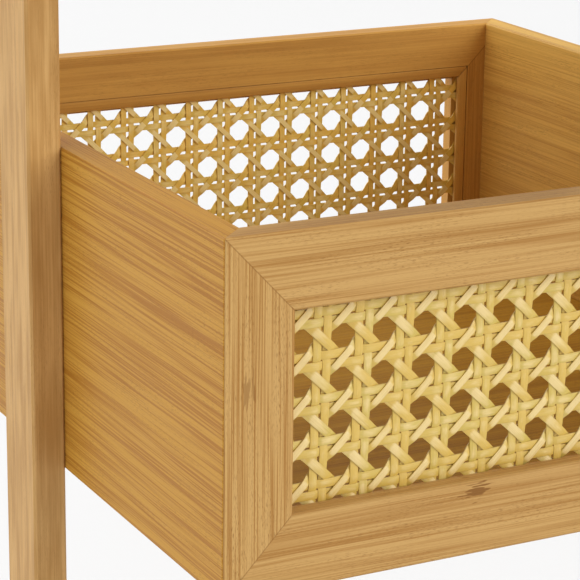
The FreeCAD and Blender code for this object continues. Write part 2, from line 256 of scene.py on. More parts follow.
# How rough the smoothest place is, how much the lines add, and how high each mark stands
SMOOTHEST = 0.36
ROUGH_LINES = 0.22
LINE_HEIGHT = 0.6
FINE_HEIGHT = 0.5
DARK_HEIGHT = -0.5
print("strips %.1f mm wide, dashes %.1f mm long" % (STRIP, DASH_SIZE[0]))

# %% The bamboo group
PLACES = ("Along", "Across", "Through")
AMOUNTS = ("Line strength", "Dash strength", "Mottle strength",
           "Knot along", "Knot across", "Knot strength")
TONES = ("Light", "Dark", "Fibre")


def knot_mask(group, along, across, given, ragged):
    """Nearly 1 inside a small ragged oval round the knot's place."""
    from_knot = []
    for place, name, reach in ((along, "Knot along", KNOT_LONG), (across, "Knot across", KNOT_HIGH)):
        away = sums(group, "DIVIDE", sums(group, "SUBTRACT", place, given.outputs[name]), reach)
        from_knot.append(sums(group, "MULTIPLY", away, away))
    distance = sums(group, "SQRT", sums(group, "ADD", *from_knot))
    frayed = sums(group, "MULTIPLY_ADD", ragged, KNOT_RAGGED, distance)
    return ramp(group, frayed, *KNOT_FADE, 1.0, 0.0)


def bamboo_group():
    """Colour, roughness and relief from three distances in metres."""
    group, given, made = new_group(
        "bamboo_grain",
        [(name, "Float", 0.0) for name in PLACES + AMOUNTS]
        + [(name, "Color", (0, 0, 0, 1)) for name in TONES],
        [("Color", "Color"), ("Roughness", "Float"), ("Height", "Float")])
    along, across, through = [sums(group, "DIVIDE", given.outputs[name], MM) for name in PLACES]
    wander = streaks(group, (along, across, through), WANDER_SIZE, 1)
    bent = sums(group, "MULTIPLY_ADD", wander, WANDER, across)
    spots = (along, bent, through)

    bands = streaks(group, spots, BAND_SIZE, 1)
    lines = streaks(group, spots, LINE_SIZE, 3)
    fine = streaks(group, spots, FINE_SIZE, 1)
    dashes = streaks(group, spots, DASH_SIZE, 1)
    crowding = streaks(group, spots, CROWD_SIZE, 2)
    mottle = streaks(group, spots, MOTTLE_SIZE, 2)
    splinters = streaks(group, spots, SPLINTER_SIZE, 1)

    strip_place = sums(group, "DIVIDE", bent, STRIP)
    strip_number = sums(group, "FLOOR", strip_place)
    layer_number = sums(group, "FLOOR", sums(group, "DIVIDE", through, STRIP))
    strip_name = put(group, "CombineXYZ", strip_number, layer_number, 0.0)
    tone = put(group, "TexWhiteNoise", strip_name.outputs[0]).outputs["Value"]
    from_middle = sums(group, "ABSOLUTE", sums(group, "SUBTRACT", sums(group, "FRACT", strip_place), 0.5))
    glue_line = ramp(group, from_middle, *GLUE_FADE)
    knot = knot_mask(group, along, across, given, splinters)

    light = swing(group, bands, BAND_SWING, MIDDLE_TONE)
    drawn = swing(group, lines, LINE_SWING, swing(group, fine, FINE_SWING))
    light = sums(group, "MULTIPLY_ADD", drawn, given.outputs["Line strength"], light)
    mottled = swing(group, mottle, MOTTLE_SWING)
    light = sums(group, "MULTIPLY_ADD", mottled, given.outputs["Mottle strength"], light)
    light = swing(group, tone, STRIP_SWING, light)

    crowded = ramp(group, crowding, *CROWD_FADE, FEWEST_DASHES, 1.0)
    dash = sums(group, "MULTIPLY", ramp(group, dashes, *DASH_FADE), crowded)
    dark_share = sums(group, "MULTIPLY", dash, given.outputs["Dash strength"])
    dark_share = sums(group, "MAXIMUM", dark_share, sums(group, "MULTIPLY", glue_line, GLUE_SHARE))
    knot_share = sums(group, "MULTIPLY", knot, given.outputs["Knot strength"])
    dark_share = sums(group, "MAXIMUM", dark_share, knot_share)

    board = mixed(group, ramp(group, light, 0.0, 1.0), given.outputs["Dark"], given.outputs["Light"])
    board = mixed(group, dark_share, board, given.outputs["Fibre"])
    roughness = sums(group, "MULTIPLY_ADD", lines, ROUGH_LINES, SMOOTHEST)
    relief = sums(group, "MULTIPLY", fine, FINE_HEIGHT)
    relief = sums(group, "MULTIPLY_ADD", lines, LINE_HEIGHT, relief)
    relief = sums(group, "MULTIPLY_ADD", dark_share, DARK_HEIGHT, relief)
    for name, value in (("Color", board), ("Roughness", roughness), ("Height", relief)):
        group.links.new(value, made.inputs[name])
    return group


bamboo = bamboo_group()
print("bamboo group: %d nodes" % len(bamboo.nodes))

# %% [markdown]
# A frame's strips meet in mitres, and each mitre shows as a thin brown line of glue. It runs from the
# frame's outer corner to the window's corner, which isn't quite at 45 degrees, since the strips differ
# in width. This group works out how far a point is from that line, in any of the three bins.

# %% The glue line in a mitre
SEAM_WIDTH = 0.32 * MM
SEAM_SHARE = 0.5
bin_low, bin_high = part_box("lower_left_side")
bin_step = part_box("middle_left_side")[0].z - bin_low.z


def mitre_group():
    """A mask of the line. Slope is the width of a rail over the width of a stile."""
    group, given, made = new_group("mitre_line",
                                   [("Place", "Vector", (0, 0, 0)), ("Slope", "Float", 1.0)],
                                   [("Line", "Float")])
    split = put(group, "SeparateXYZ", given.outputs["Place"])
    from_side = sums(group, "SUBTRACT", -bin_low.x, sums(group, "ABSOLUTE", split.outputs["X"]))
    height = sums(group, "MODULO", sums(group, "SUBTRACT", split.outputs["Z"], bin_low.z), bin_step)
    half = (bin_high.z - bin_low.z) / 2
    from_middle = sums(group, "ABSOLUTE", sums(group, "SUBTRACT", height, half))
    from_edge = sums(group, "SUBTRACT", half, from_middle)
    on_line = sums(group, "MULTIPLY", from_side, given.outputs["Slope"])
    away = sums(group, "ABSOLUTE", sums(group, "SUBTRACT", on_line, from_edge))
    group.links.new(ramp(group, away, SEAM_WIDTH / 2, SEAM_WIDTH, 1.0, 0.0), made.inputs["Line"])
    return group


mitre = mitre_group()
slopes = {}
for face in FACES:
    rail_low, rail_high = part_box("lower_%s_top_rail" % face)
    stile_low, stile_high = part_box("lower_%s_left_stile" % face)
    slopes[face] = (rail_high.z - rail_low.z) / (stile_high.x - stile_low.x)
print("bins every %.0f mm, mitres with a slope of %.2f" % (bin_step / MM, slopes["front"]))

# %% [markdown]
# Each kind of board gets a material. The grain runs the long way of the piece, so the three
# distances come from the object's own X, Y and Z in the order that suits it. A shift per kind keeps
# neighbours from showing the same lines. The lacquer is a thin coat over the colour.

# %% Bamboo finishes
BUMP_DEPTH = 0.06 * MM
FIBRE = (0.21, 0.082, 0.013, 1)

# The light tone and the dark tone of each kind of board. Besides the bamboo's own tone they hold painted
# light: the right side and the rear, whose inner faces lie in the shade of the bin, are painted lighter,
# and the bin's floor is painted darker as painted shade.
WOOD_TONES_AND_PAINTED_LIGHT = {
    "front": ((0.56, 0.335, 0.114), (0.385, 0.187, 0.044)),
    "rear": ((0.67, 0.370, 0.085), (0.49, 0.235, 0.050)),
    "left": ((0.56, 0.290, 0.044), (0.40, 0.165, 0.017)),
    "right": ((0.78, 0.480, 0.110), (0.56, 0.290, 0.058)),
    "floor": ((0.50, 0.275, 0.030), (0.35, 0.160, 0.016)),
    "post": ((0.65, 0.390, 0.145), (0.48, 0.260, 0.080)),
}

# The place of a knot along the grain, its place across the grain, and its strength
NO_KNOT = (0.0, 0.0, 0.0)
RAIL_KNOT = (-36.7, 319.6, 0.85)
STILE_KNOT = (360.4, -108.3, 0.5)


def bamboo_finish(name, wood, order, shift, strengths, knot=NO_KNOT):
    """order names the axes along, across and through the grain, shift is along X, Y and Z, in
    millimetres, and strengths are those of the lines, the dashes and the mottle."""
    material = bpy.data.materials.new("bamboo_" + name)
    material.use_nodes = True
    tree = material.node_tree
    places = put(tree, "TexCoord").outputs["Object"]
    moved = put(tree, "Mapping", places, [step * MM for step in shift])
    split = put(tree, "SeparateXYZ", moved.outputs[0])
    distances = dict(zip(PLACES, [split.outputs[axis] for axis in order]))
    knot_along, knot_across = [place + shift["XYZ".index(axis)] for place, axis in zip(knot[:2], order)]
    light, dark = WOOD_TONES_AND_PAINTED_LIGHT[wood]
    amounts = dict(zip(AMOUNTS, (*strengths, knot_along, knot_across, knot[2])))
    tones = dict(zip(TONES, (light + (1,), dark + (1,), FIBRE)))
    grain = use_group(tree, bamboo, {**distances, **amounts, **tones})
    colour = grain.outputs["Color"]
    if wood in slopes:
        corner = use_group(tree, mitre, {"Place": places, "Slope": slopes[wood]})
        seam = sums(tree, "MULTIPLY", corner.outputs["Line"], SEAM_SHARE)
        colour = mixed(tree, seam, colour, FIBRE)
    bump = put(tree, "Bump", Strength=0.6, Distance=BUMP_DEPTH, Height=grain.outputs["Height"])
    shader = tree.nodes["Principled BSDF"]
    shader.inputs["Coat Weight"].default_value = 0.05
    shader.inputs["Coat Roughness"].default_value = 0.3
    shader.inputs["Specular IOR Level"].default_value = 0.16
    tree.links.new(colour, shader.inputs["Base Color"])
    tree.links.new(grain.outputs["Roughness"], shader.inputs["Roughness"])
    tree.links.new(bump.outputs[0], shader.inputs["Normal"])
    return material


FINISHES = {
    "left_side": bamboo_finish("left_side", "left", "YZX", (0, 3, 11), (1.7, 0.4, 0)),
    "right_side": bamboo_finish("right_side", "right", "YZX", (60, 8, 21), (0.6, 0.3, 0.2)),
    "front_rail": bamboo_finish("front_rail", "front", "XZY", (37, 0, 5), (0.8, 0.5, 0), RAIL_KNOT),
    "front_stile": bamboo_finish("front_stile", "front", "ZXY", (2, 0, 61), (1.7, 0.6, 0), STILE_KNOT),
    "rear_rail": bamboo_finish("rear_rail", "rear", "XZY", (90, 0, 2), (0.35, 0.2, 0.3)),
    "rear_stile": bamboo_finish("rear_stile", "rear", "ZXY", (5, 0, 17), (0.5, 0.2, 0.3)),
    "floor": bamboo_finish("floor_board", "floor", "XYZ", (13, 4, 0), (0.8, 0.6, 0)),
    "post": bamboo_finish("post", "post", "ZYX", (1, 6, 140), (0.5, 0.2, 1.0)),
    "foot": bamboo_finish("foot", "post", "YZX", (7, 50, 1), (0.7, 0.4, 0.3)),
}
print("bamboo finishes: %s" % ", ".join(FINISHES))

# %% [markdown]
# The boards come from the frame with flat chamfers. A hand-sanded edge is rounder, and a mitre shows
# as a fine dark line because both sides of it are eased. A weld and a narrow bevel, as live modifiers,
# give both without touching the frame's own points.

# %% Ease the edges of the boards and give them their finish
EASE = 0.16 * MM
SHARP = math.radians(30)


def finish_of(node):
    """The name of the finish that suits a board, or nothing for a piece that isn't bamboo."""
    for ending in ("post", "foot", "floor", "left_side", "right_side"):
        if node.endswith("_" + ending):
            return ending
    for face in FACES:
        for part in ("rail", "stile"):
            if "_%s_" % face in node and node.endswith(part):
                return "%s_%s" % (face, part)
    return None


def ease(board):
    """A weld, so that faces share their edges, then a narrow bevel on the sharp ones."""
    weld = board.modifiers.new("weld", "WELD")
    weld.merge_threshold = TOUCH
    bevel = board.modifiers.new("eased_edges", "BEVEL")
    bevel.width = EASE
    bevel.segments = 2
    bevel.limit_method = "ANGLE"
    bevel.angle_limit = SHARP


eased = [name for name in nodes if finish_of(name)]
for name in eased:
    board = nodes[name]
    board.data.materials.clear()
    board.data.materials.append(FINISHES[finish_of(name)])
    ease(board)
print("boards eased: %d" % len(eased))

# %% [markdown]
# Cane webbing is woven in six directions. Strands run up and down in pairs, and across in pairs, woven
# over and under each other like cloth. Single strands then run along both diagonals: one family
# passes over the level pairs and under the upright ones, the other the opposite way. That leaves
# eight-sided holes. It could be faked with a pattern of see-through holes, but the light catches the
# crown of each strand, so real strands are worth their triangles.

# %% Sizes of the weave
UPRIGHT_WIDTH = 2.45 * MM
UPRIGHT_STEP = 2.95 * MM
LEVEL_WIDTH = 2.45 * MM
LEVEL_STEP = 2.9 * MM
RISING_WIDTH = 2.15 * MM
FALLING_WIDTH = 2.65 * MM
CANE = 0.5 * MM
CROWN = 0.17 * MM
HALF_DEPTH = 1.5 * CANE
print("three strands lie %.2f mm deep where they cross" % (2 * HALF_DEPTH / MM))

# %% [markdown]
# The modelling operators work on whatever is selected and active. A few helpers take care of that: one
# picks points by a test on their place, others make a piece active, apply its modifiers or join pieces.
# After that, modelling in a script reads much like modelling by hand.

# %% Helpers for modelling


def only(piece):
    """Deselects everything and makes one piece the active one."""
    bpy.ops.object.select_all(action="DESELECT")
    piece.select_set(True)
    bpy.context.view_layer.objects.active = piece


def pick(piece, wanted):
    """In edit mode, selects the vertices whose place passes a test, and nothing else."""
    bpy.ops.object.mode_set(mode="OBJECT")
    for part in (piece.data.polygons, piece.data.edges, piece.data.vertices):
        part.foreach_set("select", [False] * len(part))
    for vertex in piece.data.vertices:
        vertex.select = wanted(vertex.co)
    bpy.ops.object.mode_set(mode="EDIT")
    bpy.ops.mesh.select_mode(type="VERT")


def apply_all(piece):
    """Applies every modifier of a piece, in order."""
    only(piece)
    for modifier in list(piece.modifiers):
        bpy.ops.object.modifier_apply(modifier=modifier.name)


def join_as(name, copies):
    """Joins pieces into the first of them and names it."""
    only(copies[0])
    for twin in copies:
        twin.select_set(True)
    bpy.ops.object.join()
    group = bpy.context.object
    group.name = name
    return group


def near(first, second):
    """Whether two distances are the same, apart from rounding."""
    return abs(first - second) < TOUCH


# %% [markdown]
# One repeat of a strand starts as a grid, one pitch long and one strand wide. Its middle rows are
# raised to a crown and its columns are lifted and lowered where it passes over and under. The sides
# and the back come from an extrusion, and the open ends let copies join into one long strand.

# %% One repeat of a strand
ACROSS = 4
STEP_LENGTH = 1.05 * MM
SHOULDER = 0.75
HUMP_POWER = 0.55
STEEPNESS = 1.7


def strand_unit(name, length, width, height):
    """One repeat of a strand along X, about the origin. height(share) is its way up and down."""
    steps = round(length / STEP_LENGTH)
    bpy.ops.object.select_all(action="DESELECT")
    bpy.ops.mesh.primitive_grid_add(x_subdivisions=steps, y_subdivisions=ACROSS, size=1)
    unit = bpy.context.object
    unit.name = name
    bpy.ops.object.mode_set(mode="EDIT")
    bpy.ops.transform.resize(value=(length, width, 1))
    bpy.ops.mesh.extrude_region_move(TRANSFORM_OT_translate={"value": (0, 0, CANE - CROWN)})
    for row in (-1, 0, 1):
        rise = CROWN if row == 0 else CROWN * SHOULDER
        pick(unit, lambda spot: spot.z > CANE / 4 and near(spot.y, row * width / ACROSS))
        bpy.ops.transform.translate(value=(0, 0, rise))
    for column in range(steps + 1):
        share = column / steps - 0.5
        pick(unit, lambda spot: near(spot.x, length * share))
        bpy.ops.transform.translate(value=(0, 0, height(share) - CANE / 2))
    for end in (-1, 1):
        pick(unit, lambda spot: near(spot.x, end * length / 2))
        bpy.ops.mesh.select_mode(type="FACE")
        bpy.ops.mesh.delete(type="ONLY_FACE")
    bpy.ops.object.mode_set(mode="OBJECT")
    return unit


def over_and_under(first):
    """For a strand of a pair: low before the middle of the crossing and high after, or the reverse."""
    def height(share):
        rise = CANE / 2 * math.sin(math.pi * abs(2 * share) ** HUMP_POWER)
        return first * math.copysign(rise, share)
    return height


def over_then_under(first):
    """For a diagonal strand: over one family of pairs and under the other, or the reverse."""
    def height(share):
        wave = max(-1.0, min(1.0, STEEPNESS * math.cos(2 * math.pi * share)))
        return first * CANE * math.sin(math.pi / 2 * wave)
    return height


# %% [markdown]
# Two arrays turn the unit into a family of strands: one along the strand, which joins end to end, and
# one to its neighbours. They also step the UV map, so that its whole numbers count repeats along a
# strand and name the strand. The finish uses that. Then the family is turned the way it runs.

# %% A family of strands
NAMES_PER_FAMILY = 40
JOIN_REACH = 0.01 * MM


def add_array(piece, name, step, count):
    """Repeats a piece, each copy a step further than the last."""
    array = piece.modifiers.new(name, "ARRAY")
    array.use_relative_offset = False
    array.use_constant_offset = True
    array.constant_offset_displace = step
    array.count = count
    return array


def turn_points(angle, axis):
    """In edit mode, turns what is selected about the origin, anticlockwise about an axis."""
    bpy.ops.transform.rotate(value=-angle, orient_axis=axis, center_override=(0, 0, 0))


def lay_family(unit, start, step, copies, neighbour, strands, number):
    """Repeats a unit, whose crossings lie a step apart in the sheet, from its start."""
    angle = math.atan2(step.y, step.x)
    along = add_array(unit, "along", (step.length, 0, 0), copies)
    along.use_merge_vertices = True
    along.merge_threshold = JOIN_REACH
    along.offset_u = 1
    across = add_array(unit, "across", Quaternion((0, 0, 1), -angle) @ neighbour, strands)
    across.offset_v = 1
    names = unit.modifiers.new("names", "UV_WARP")
    names.uv_layer = unit.data.uv_layers[0].name
    names.offset = (0, NAMES_PER_FAMILY * number)
    apply_all(unit)
    bpy.ops.object.mode_set(mode="EDIT")
    bpy.ops.mesh.select_all(action="SELECT")
    turn_points(angle, "Z")
    bpy.ops.transform.translate(value=start)
    bpy.ops.object.mode_set(mode="OBJECT")


# %% [markdown]
# A sheet is six families over one window, joined, and trimmed to the size of the window's rebate. The
# trimming fills each cut end, so no strand is left open. The steps from crossing to crossing needn't be
# square: webbing is pulled into its frame by hand, and in the picture its rows rise and lean a little.
# The rear sheet has slimmer strands, which leave small gaps between the strands of a pair.

# %% Weave a sheet
SPARE = 4


def trim(sheet, half_wide, half_high):
    """Cuts a sheet to a rectangle about the origin and closes the cut strands."""
    only(sheet)
    bpy.ops.object.mode_set(mode="EDIT")
    for side in (-1, 1):
        for normal in ((side, 0, 0), (0, side, 0)):
            edge = (side * half_wide, side * half_high, 0)
            bpy.ops.mesh.select_all(action="SELECT")
            bpy.ops.mesh.bisect(plane_co=edge, plane_no=normal, use_fill=True, clear_outer=True)
    bpy.ops.object.mode_set(mode="OBJECT")


def weave(name, half_wide, half_high, hole, right, up, slim):
    """A flat sheet about the origin, facing +Z, from the middle of a hole and the steps to the next.
    All its strands are made narrower by slim."""
    columns = int(2 * half_wide / right.length) + SPARE
    rows = int(2 * half_high / up.length) + SPARE
    first = hole + (right + up) / 2 - right * (columns // 2 + 1) - up * (rows // 2 + 1)
    across_pair = right.normalized() * UPRIGHT_STEP / 2
    up_pair = up.normalized() * LEVEL_STEP / 2
    families = []
    for side in (-1, 1):
        unit = strand_unit("upright", up.length, UPRIGHT_WIDTH * slim, over_and_under(-side))
        lay_family(unit, first + side * across_pair, up, rows + 1, right, columns, len(families))
        families.append(unit)
    for side in (-1, 1):
        unit = strand_unit("level", right.length, LEVEL_WIDTH * slim, over_and_under(side))
        lay_family(unit, first + side * up_pair, right, columns + 1, up, rows, len(families))
        families.append(unit)
    for side in (-1, 1):
        step = right + side * up
        start = first + right / 2 - right * rows
        if side < 0:
            start += up * rows
        width = RISING_WIDTH if side > 0 else FALLING_WIDTH
        unit = strand_unit("diagonal", step.length, width * slim, over_then_under(side))
        lay_family(unit, start, step, rows + 1, right, columns + rows, len(families))
        families.append(unit)
    sheet = join_as(name, families)
    trim(sheet, half_wide, half_high)
    print("%s: %d triangles" % (name, sum(len(face.vertices) - 2 for face in sheet.data.polygons)))
    return sheet


# %% [markdown]
# A strand is the outer skin of a rattan cane: hard, glossy and straw-coloured, with fine lines along
# it. No two strands have quite the same tone, and each changes a little on its way. The UV map made
# above serves this well: its whole numbers name the strand, and what is left over is the place across.
# A painted highlight makes the crests on either side pale, and painted shade keeps the dips golden, so
# the depth in the sheet counts too. The falling strands, the fifth family, get a painted highlight where
# they come up, and painted shade where they dive again. The edges of every strand get a little painted
# shade. The front and rear sheets lie equally far from the middle of the rack, so one distance serves
# both.

# %% Colours and marks of the cane
REPEAT_MM = 12.6
STRAND_MM = 2.4
FAR_APART = 37.0
FALLING_FAMILY = 4
NET_FRONT = -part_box("lower_front_webbing")[0].y
CREAM = (0.79, 0.60, 0.26)
GOLD = (0.655, 0.432, 0.071)
OLIVE = (0.589, 0.428, 0.071)
UMBER = (0.42, 0.25, 0.04, 1)

# The size of a mark along the strand, across it and from strand to strand, in millimetres
SCRATCH_SIZE = (22, 0.16, 1)
BLOTCH_SIZE = (3.5, 1.2, 1)
CHANGE_SIZE = (26, 1, 1)

# How far noise swings the hue between gold and olive and the tone between golden and pale, and the
# painted highlight and painted shade along the falling strands
CHANGE_SWING = 1.6
BLOTCH_SWING = 1.1
STRAND_SWING = 0.5
DIVE_LIGHT_START = -0.45
DIVE_LIGHT_SLOPE = -2.4

# Where a value starts and stops to fade into a mark, and the most that each mark covers
OLIVE_FADE = (0.2, 0.9)
SCRATCH_FADE = (0.5, 0.75)
SCRATCH_SHARE = 0.35
# The rim is painted shade along the edges of each strand.
RIM_SHADE_FADE = (0.8, 1.0)
RIM_SHADE_SHARE = 0.2
CREAM_SHARES = (0.08, 0.95)
SCRATCH_DEPTH = 0.05 * MM
print("the cane's pattern repeats every %.1f mm" % REPEAT_MM)

# %% Cane finish


def cane_finish(face, painted_light_gain):
    """Its last argument, above 1, paints the whole sheet paler as painted light."""
    material = bpy.data.materials.new("cane_" + face)
    material.use_nodes = True
    tree = material.node_tree
    place = put(tree, "TexCoord")
    split = put(tree, "SeparateXYZ", place.outputs["UV"])
    along = sums(tree, "MULTIPLY", split.outputs["X"], REPEAT_MM)
    across = sums(tree, "MULTIPLY", split.outputs["Y"], STRAND_MM)
    strand = sums(tree, "FLOOR", split.outputs["Y"])
    share = sums(tree, "FRACT", split.outputs["Y"])
    rim = sums(tree, "MULTIPLY", sums(tree, "ABSOLUTE", sums(tree, "SUBTRACT", share, 0.5)), 2.0)
    far_apart = sums(tree, "MULTIPLY", strand, FAR_APART)
    depth = sums(tree, "ABSOLUTE", put(tree, "SeparateXYZ", place.outputs["Object"]).outputs["Y"])

    strand_name = put(tree, "CombineXYZ", strand, 0.0, 0.0)
    tone = put(tree, "TexWhiteNoise", strand_name.outputs[0]).outputs["Value"]
    change = streaks(tree, (along, far_apart, 0.0), CHANGE_SIZE, 2)
    scratches = streaks(tree, (along, across, far_apart), SCRATCH_SIZE, 2)
    blotches = streaks(tree, (along, across, far_apart), BLOTCH_SIZE, 2)

    cream, gold, olive = [tuple(min(1, part * painted_light_gain) for part in colour) + (1,)
                          for colour in (CREAM, GOLD, OLIVE)]
    green = swing(tree, change, CHANGE_SWING, tone)
    golden = mixed(tree, ramp(tree, green, *OLIVE_FADE), gold, olive)

    # Painted highlight: the nearer a point lies to either face of the sheet, the paler it is; the dips
    # keep painted shade.
    from_middle = sums(tree, "ABSOLUTE", sums(tree, "SUBTRACT", depth, NET_FRONT - HALF_DEPTH))
    crest_highlight = ramp(tree, from_middle, CANE / 2, HALF_DEPTH)
    pale = swing(tree, tone, STRAND_SWING, swing(tree, blotches, BLOTCH_SWING, crest_highlight))
    # Painted highlight and shade along the falling strands: paler where they come up, golden where they
    # dive.
    family = sums(tree, "DIVIDE", strand, NAMES_PER_FAMILY)
    falling = sums(tree, "COMPARE", family, FALLING_FAMILY + 0.5, 0.5)
    from_top = sums(tree, "FRACT", sums(tree, "ADD", split.outputs["X"], 0.5))
    from_top = sums(tree, "SUBTRACT", from_top, 0.5)
    dive_light_and_shade = sums(tree, "MULTIPLY_ADD", from_top, DIVE_LIGHT_SLOPE, DIVE_LIGHT_START)
    pale = sums(tree, "MULTIPLY_ADD", falling, dive_light_and_shade, pale)

    colour = mixed(tree, ramp(tree, pale, 0.0, 1.0, *CREAM_SHARES), golden, cream)
    colour = mixed(tree, ramp(tree, scratches, *SCRATCH_FADE, 0.0, SCRATCH_SHARE), colour, UMBER)
    # Painted shade along the edges of each strand.
    colour = mixed(tree, ramp(tree, rim, *RIM_SHADE_FADE, 0.0, RIM_SHADE_SHARE), colour, UMBER)
    bump = put(tree, "Bump", Strength=0.5, Distance=SCRATCH_DEPTH, Height=scratches)
    shader = tree.nodes["Principled BSDF"]
    shader.inputs["Coat Weight"].default_value = 0.2
    shader.inputs["Coat Roughness"].default_value = 0.2
    tree.links.new(colour, shader.inputs["Base Color"])
    tree.links.new(sums(tree, "MULTIPLY_ADD", scratches, 0.25, 0.3), shader.inputs["Roughness"])
    tree.links.new(bump.outputs[0], shader.inputs["Normal"])
    return material


# The rear sheet lies in shade inside the bin, so it is painted paler, as painted light.
cane = {"front": cane_finish("front", 1.0), "rear": cane_finish("rear", 1.38)}
print("cane finish: %d nodes" % len(cane["front"].node_tree.nodes))

# %% [markdown]
# The front sheet and the rear sheet are woven once each and copied for the other bins. Each stands in
# its rebate, with its outermost strands against the lip of the window, where the frame's plain net is.

# %% Hang the webbing
WEAVES = {
    "front": {
        "hole": Vector((-1.6, 5.9, 0)) * MM,
        "right": Vector((12.6, 0.08, 0)) * MM,
        "up": Vector((0.2, 12.13, 0)) * MM,
        "slim": 1.0,
    },
    "rear": {
        "hole": Vector((-4.6, 5.5, 0)) * MM,
        "right": Vector((12.6, -0.08, 0)) * MM,
        "up": Vector((-0.03, 12.32, 0)) * MM,
        "slim": 0.82,
    },
}
SMOOTH = math.radians(50)


def copy_of(piece, name):
    """A copy with a mesh of its own."""
    twin = piece.copy()
    twin.data = piece.data.copy()
    twin.name = name
    bpy.context.collection.objects.link(twin)
    return twin


def place_points(piece, turns, step):
    """Turns a piece about the origin and moves it, by its points, so that its object stays put."""
    only(piece)
    bpy.ops.object.mode_set(mode="EDIT")
    bpy.ops.mesh.select_all(action="SELECT")
    for angle, axis in turns:
        turn_points(math.radians(angle), axis)
    bpy.ops.transform.translate(value=step)
    bpy.ops.object.mode_set(mode="OBJECT")


def hand_over(piece, node):
    """The piece takes a node's place on the rack."""
    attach(piece, "root")
    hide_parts(node)


for face, outwards in FACES.items():
    low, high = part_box("lower_%s_webbing" % face)
    middle, half = (low + high) / 2, (high - low) / 2
    sheet = weave("lower_%s_cane" % face, half.x, half.z, **WEAVES[face])
    seat = (low.y if outwards < 0 else high.y) - outwards * HALF_DEPTH
    turns = [(90, "X")] if outwards < 0 else [(90, "X"), (180, "Z")]
    place_points(sheet, turns, (middle.x, seat, middle.z))
    bpy.ops.object.shade_smooth_by_angle(angle=SMOOTH)
    sheet.data.materials.append(cane[face])
    hand_over(sheet, "lower_%s_webbing" % face)
    for tier in TIERS[1:]:
        net = "%s_%s_webbing" % (tier, face)
        hung = copy_of(sheet, "%s_%s_cane" % (tier, face))
        place_points(hung, [], (0, 0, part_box(net)[0].z - low.z))
        hand_over(hung, net)

# %% [markdown]
# Webbing is held in its rebate by thin beads, pinned over its edge on the inside of the bin. A bead is
# a block whose inner edge is shorter, so that its ends meet the next bead in a mitre. The windows are
# equally wide, so one bead serves all level edges, but the front and rear ones aren't equally high and
# need an upright bead each. Copies of these three are turned to lie round every window.

# %% Beads round the webbing
BEAD_WIDTH = 3.7 * MM
BEAD_DEPTH = 1.5 * MM
BEAD_STEP = 0.2 * MM
BEAD_EASE = 0.25 * MM
BEADS = {"top": (0, (0, 1)), "bottom": (180, (0, -1)), "left": (-90, (-1, 0)), "right": (90, (1, 0))}


def bead(length):
    """A mitred strip along X about the origin, whose shorter edge is the lower one."""
    bpy.ops.object.select_all(action="DESELECT")
    bpy.ops.mesh.primitive_cube_add(size=1)
    strip = bpy.context.object
    bpy.ops.object.mode_set(mode="EDIT")
    bpy.ops.transform.resize(value=(length, BEAD_DEPTH, BEAD_WIDTH))
    pick(strip, lambda spot: spot.z < 0)
    bpy.ops.transform.resize(value=(1 - 2 * BEAD_WIDTH / length, 1, 1))
    bpy.ops.mesh.select_all(action="SELECT")
    bpy.ops.mesh.bevel(offset=BEAD_EASE, segments=2, affect="EDGES")
    bpy.ops.object.mode_set(mode="OBJECT")
    bpy.ops.object.shade_smooth_by_angle(angle=SMOOTH)
    return strip


rear_low, rear_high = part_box("lower_rear_webbing")
front_low, front_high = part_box("lower_front_webbing")
level_bead = bead(rear_high.x - rear_low.x)
upright_beads = {"front": bead(front_high.z - front_low.z), "rear": bead(rear_high.z - rear_low.z)}
for tier in TIERS:
    for face, outwards in FACES.items():
        low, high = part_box("%s_%s_webbing" % (tier, face))
        middle, reach = (low + high) / 2, (high - low) / 2 - Vector((1, 0, 1)) * BEAD_WIDTH / 2
        inner_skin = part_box("%s_%s_top_rail" % (tier, face))[0 if outwards > 0 else 1].y
        seat = inner_skin + outwards * (BEAD_STEP + BEAD_DEPTH / 2)
        for side, (angle, (sideways, upwards)) in BEADS.items():
            strip = copy_of(upright_beads[face] if sideways else level_bead,
                            "%s_%s_%s_bead" % (tier, face, side))
            place = (middle.x + sideways * reach.x, seat, middle.z + upwards * reach.z)
            place_points(strip, [(angle, "Y")], place)
            # The beads take the rear tones, which are painted lighter as painted light.
            strip.data.materials.append(FINISHES["rear_stile" if sideways else "rear_rail"])
            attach(strip, "root")
for pattern in (level_bead, *upright_beads.values()):
    bpy.data.objects.remove(pattern)
print("beads: %d" % (len(BEADS) * len(TIERS) * len(FACES)))

# %% [markdown]
# Pan-head screws hold each bin to the uprights from inside. A head is a short cylinder whose rim is
# rounded with a bevel. Its cross is cut with a boolean, because a slot across a round face is awkward
# to pull out of it by hand. The shank hides in the wood and stays plain.

# %% A pan-head screw
HEAD_RADIUS = 4.2 * MM
HEAD_HEIGHT = 2.4 * MM
HEAD_ROUND = 0.55
SHANK_RADIUS = 2.0 * MM
TIP = 2.5 * MM
TIP_TAPER = 0.15
CROSS_LENGTH = 4.6 * MM
CROSS_WIDTH = 1.1 * MM
CROSS_DEPTH = 1.4 * MM
CROSS_TAPER = 0.55


def cross_blade(angle):
    """One tapered blade of the cross, upright in the top of the head."""
    bpy.ops.object.select_all(action="DESELECT")
    bpy.ops.mesh.primitive_cube_add(size=1)
    blade = bpy.context.object
    bpy.ops.object.mode_set(mode="EDIT")
    bpy.ops.transform.resize(value=(CROSS_LENGTH, CROSS_WIDTH, 2 * CROSS_DEPTH))
    pick(blade, lambda spot: spot.z < 0)
    bpy.ops.transform.resize(value=(CROSS_TAPER, CROSS_TAPER, 1))
    bpy.ops.mesh.select_all(action="SELECT")
    turn_points(math.radians(angle), "Z")
    bpy.ops.transform.translate(value=(0, 0, HEAD_HEIGHT))
    bpy.ops.object.mode_set(mode="OBJECT")
    return blade


def cut_with(piece, blade):
    """Takes one shape out of another with a boolean, and throws the cutter away."""
    cut = piece.modifiers.new("cut", "BOOLEAN")
    cut.operation = "DIFFERENCE"
    cut.object = blade
    apply_all(piece)
    bpy.data.objects.remove(blade)


